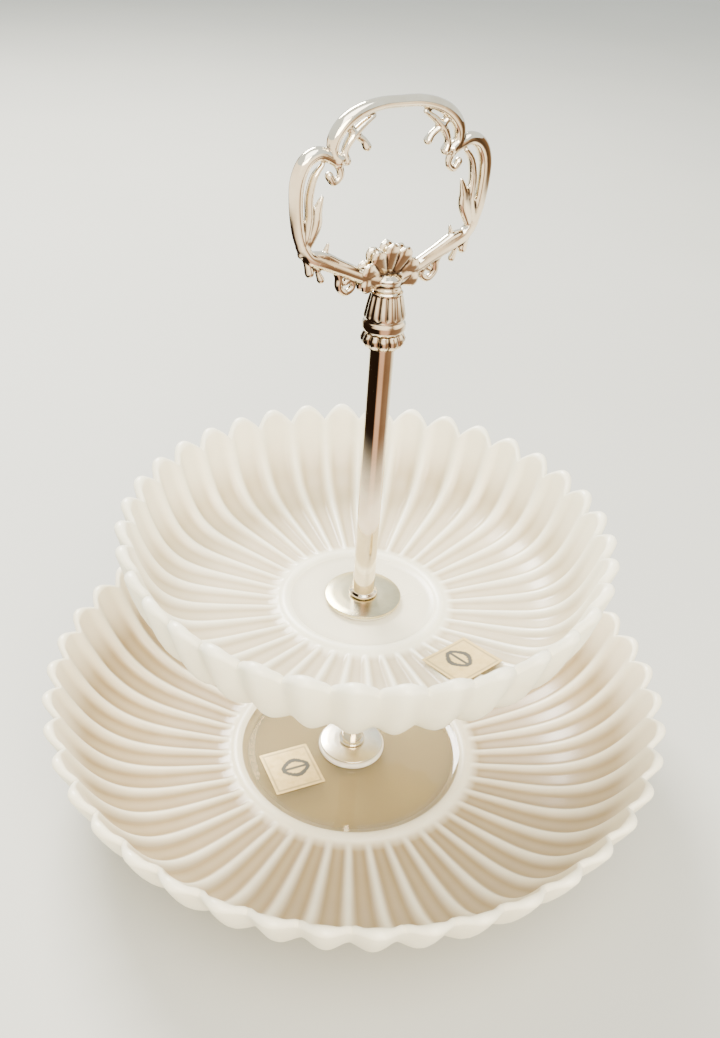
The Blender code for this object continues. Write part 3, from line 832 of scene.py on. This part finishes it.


# cards that only polished metal mirrors, for painted reflections: a curved glowing sheet round the front of
# the rod, whose bands paint the light and dark stripes reflected in the rod and handle, and a brown sheet
# before the stand that paints a brown reflection. Each band of the glowing sheet has its height and its
# tones, by angle: 0 is towards the camera and minus is to the camera's left
creamTones = [(-128, (2.3, 2.0, 1.55)), (128, (2.3, 2.0, 1.55))]
rodTones = [(-128, (0.14, 0.09, 0.05)), (-114, (0.020, 0.010, 0.006)), (-20, (0.014, 0.007, 0.004)),
            (-8, (0.85, 0.47, 0.30)), (22, (0.90, 0.52, 0.34)), (36, (0.22, 0.115, 0.06)),
            (92, (0.32, 0.19, 0.11)), (112, (1.0, 0.85, 0.66)), (128, (1.6, 1.4, 1.1))]
lowHandleTones = [(-128, (0.20, 0.13, 0.08)), (-110, (0.020, 0.010, 0.006)), (-60, (0.025, 0.013, 0.008)),
                  (-48, (1.2, 0.94, 0.68)), (-20, (2.0, 1.72, 1.30)), (18, (1.7, 1.36, 1.0)),
                  (34, (0.50, 0.29, 0.16)), (48, (0.26, 0.145, 0.075)), (62, (1.5, 1.18, 0.84)),
                  (84, (2.0, 1.74, 1.34)), (128, (1.9, 1.70, 1.35))]
highHandleTones = [(-128, (0.60, 0.48, 0.34)), (-98, (0.12, 0.07, 0.04)), (-84, (1.8, 1.55, 1.2)),
                   (34, (2.0, 1.70, 1.28)), (56, (0.30, 0.17, 0.09)), (70, (1.7, 1.40, 1.0)),
                   (86, (0.50, 0.30, 0.17)), (98, (0.07, 0.04, 0.02)), (120, (0.22, 0.12, 0.06)),
                   (128, (0.80, 0.66, 0.48))]
wrapCard = {
    "radius": 0.062, "reach": 128, "glow": 1.6, "across": 96, "upward": 48,
    "bands": [(0.128, creamTones), (0.190, rodTones), (0.262, rodTones), (0.278, lowHandleTones),
              (0.306, lowHandleTones), (0.320, highHandleTones), (0.350, highHandleTones)],
}
tableCard = {"place": (0.0, -0.62, 0.02), "size": (1.6, 0.55), "tone": (0.50, 0.30, 0.17)}


def onlyMirrored(panel):
    for ray in ("camera", "diffuse", "transmission", "volume_scatter", "shadow"):
        setattr(panel, "visible_" + ray, False)


def toneAt(tones, angle):
    angles = [entry[0] for entry in tones]
    channels = zip(*(entry[1] for entry in tones))
    return np.array([np.interp(angle, angles, channel) for channel in channels])


def bandToneAt(bands, height, angle):
    for (lowest, below), (highest, above) in zip(bands, bands[1:]):
        if height <= highest + 1e-9:
            share = smoothStep((height - lowest) / (highest - lowest))
            return toneAt(below, angle) * (1 - share) + toneAt(above, angle) * share


def buildWrapCard():
    bands, reach, across, upward = (wrapCard[key] for key in ("bands", "reach", "across", "upward"))
    bottom, top = bands[0][0], bands[-1][0]
    points, faces, tones = [], [], []
    for row in range(upward + 1):
        height = bottom + (top - bottom) * row / upward
        for column in range(across + 1):
            angle = -reach + 2 * reach * column / across
            turn = math.radians(angle - 90)
            spot = (wrapCard["radius"] * math.cos(turn), wrapCard["radius"] * math.sin(turn), height)
            points.append(turnedToHandle(spot))
            tones.append([*bandToneAt(bands, height, angle), 1.0])
    for row in range(upward):
        for column in range(across):
            corner = row * (across + 1) + column
            faces.append((corner, corner + 1, corner + across + 2, corner + across + 1))
    panel = pieceFromMesh("wrapCard", points, faces)
    layer = panel.data.color_attributes.new("paintedReflectionTone", "FLOAT_COLOR", "POINT")
    layer.data.foreach_set("color", np.array(tones, np.float32).ravel())
    # the sheet glows with its painted reflection tones, and only mirrors see it
    finish, tree, _ = newFinish("paintedReflectionSheet")
    paintedReflectionTone = tree.nodes.new("ShaderNodeAttribute")
    paintedReflectionTone.attribute_name = "paintedReflectionTone"
    glow = tree.nodes.new("ShaderNodeEmission")
    tree.links.new(paintedReflectionTone.outputs["Color"], glow.inputs["Color"])
    glow.inputs["Strength"].default_value = wrapCard["glow"]
    tree.links.new(glow.outputs["Emission"], tree.nodes["Material Output"].inputs["Surface"])
    panel.data.materials.append(finish)
    onlyMirrored(panel)


def buildTableCard():
    x, y, z = tableCard["place"]
    wide, deep = tableCard["size"]
    corners = [(x + a * wide / 2, y + b * deep / 2, z) for a, b in ((-1, -1), (1, -1), (1, 1), (-1, 1))]
    panel = pieceFromMesh("tableCard", [turnedToHandle(corner) for corner in corners], [(0, 1, 2, 3)])
    # a brown sheet that only mirrors see: a painted brown reflection in the metal
    finish, _, shader = newFinish("paintedBrownReflection")
    shader.inputs["Base Color"].default_value = (*tableCard["tone"], 1)
    shader.inputs["Roughness"].default_value = 0.9
    panel.data.materials.append(finish)
    onlyMirrored(panel)


lights = [
    {"name": "windowLight", "place": (-0.8, 1.35, 1.65), "target": (0, 0, 0.1), "size": (1.0, 0.7),
     "energy": 170, "tone": (1.0, 0.98, 0.94)},
    {"name": "ceilingLight", "place": (0.3, -0.8, 1.9), "target": (0, 0, 0.1), "size": (1.5, 1.5),
     "energy": 60, "tone": (1.0, 0.98, 0.95)},
    {"name": "fillLight", "place": (0.5, -1.7, 1.0), "target": (0, 0, 0.05), "size": (1.4, 0.9),
     "energy": 95, "tone": (1.0, 0.88, 0.70)},
]


def buildLights():
    world = bpy.data.worlds.new("paleRoom")
    bpy.context.scene.world = world
    world.use_nodes = True
    back = world.node_tree.nodes["Background"]
    back.inputs["Color"].default_value = (*studio["skyTone"], 1)
    back.inputs["Strength"].default_value = studio["skyStrength"]
    for entry in lights:
        light = bpy.data.lights.new(entry["name"], "AREA")
        light.shape = "RECTANGLE"
        light.size, light.size_y = entry["size"]
        light.energy = entry["energy"]
        light.color = entry["tone"]
        holder = bpy.data.objects.new(entry["name"], light)
        bpy.context.scene.collection.objects.link(holder)
        place = turnedToHandle(entry["place"])
        holder.location = place
        holder.rotation_mode = "QUATERNION"
        holder.rotation_quaternion = (Vector(entry["target"]) - Vector(place)).to_track_quat("-Z", "Y")


# the angles are in degrees, and yaw and pitch turn the view to the right and down
frontView = {"back": 0.4253, "up": 0.4479, "yaw": -0.57, "pitch": 33.69, "roll": 4.13,
             "sensor": 36.0, "lens": 36.242775}


def buildCamera():
    yaw, pitch, roll = (math.radians(frontView[key]) for key in ("yaw", "pitch", "roll"))
    forward = Vector((math.sin(yaw) * math.cos(pitch), math.cos(yaw) * math.cos(pitch), -math.sin(pitch)))
    level = forward.cross(Vector((0, 0, 1))).normalized()
    upright = level.cross(forward)
    right = level * math.cos(roll) + upright * math.sin(roll)
    up = upright * math.cos(roll) - level * math.sin(roll)
    camera = bpy.data.objects.new("frontCamera", bpy.data.cameras.new("frontCamera"))
    bpy.context.scene.collection.objects.link(camera)
    right, up, forward = (Vector(turnedToHandle(v)) for v in (right, up, forward))
    place = Vector(turnedToHandle((0, -frontView["back"], frontView["up"])))
    camera.matrix_world = Matrix((
        (right.x, up.x, -forward.x, place.x),
        (right.y, up.y, -forward.y, place.y),
        (right.z, up.z, -forward.z, place.z),
        (0, 0, 0, 1),
    ))
    camera.data.sensor_fit = "VERTICAL"
    camera.data.sensor_height = frontView["sensor"]
    camera.data.sensor_width = frontView["sensor"]
    camera.data.lens = frontView["lens"]
    bpy.context.scene.camera = camera


buildFloor()
buildWrapCard()
buildTableCard()
buildLights()
buildCamera()
print("studio ready")
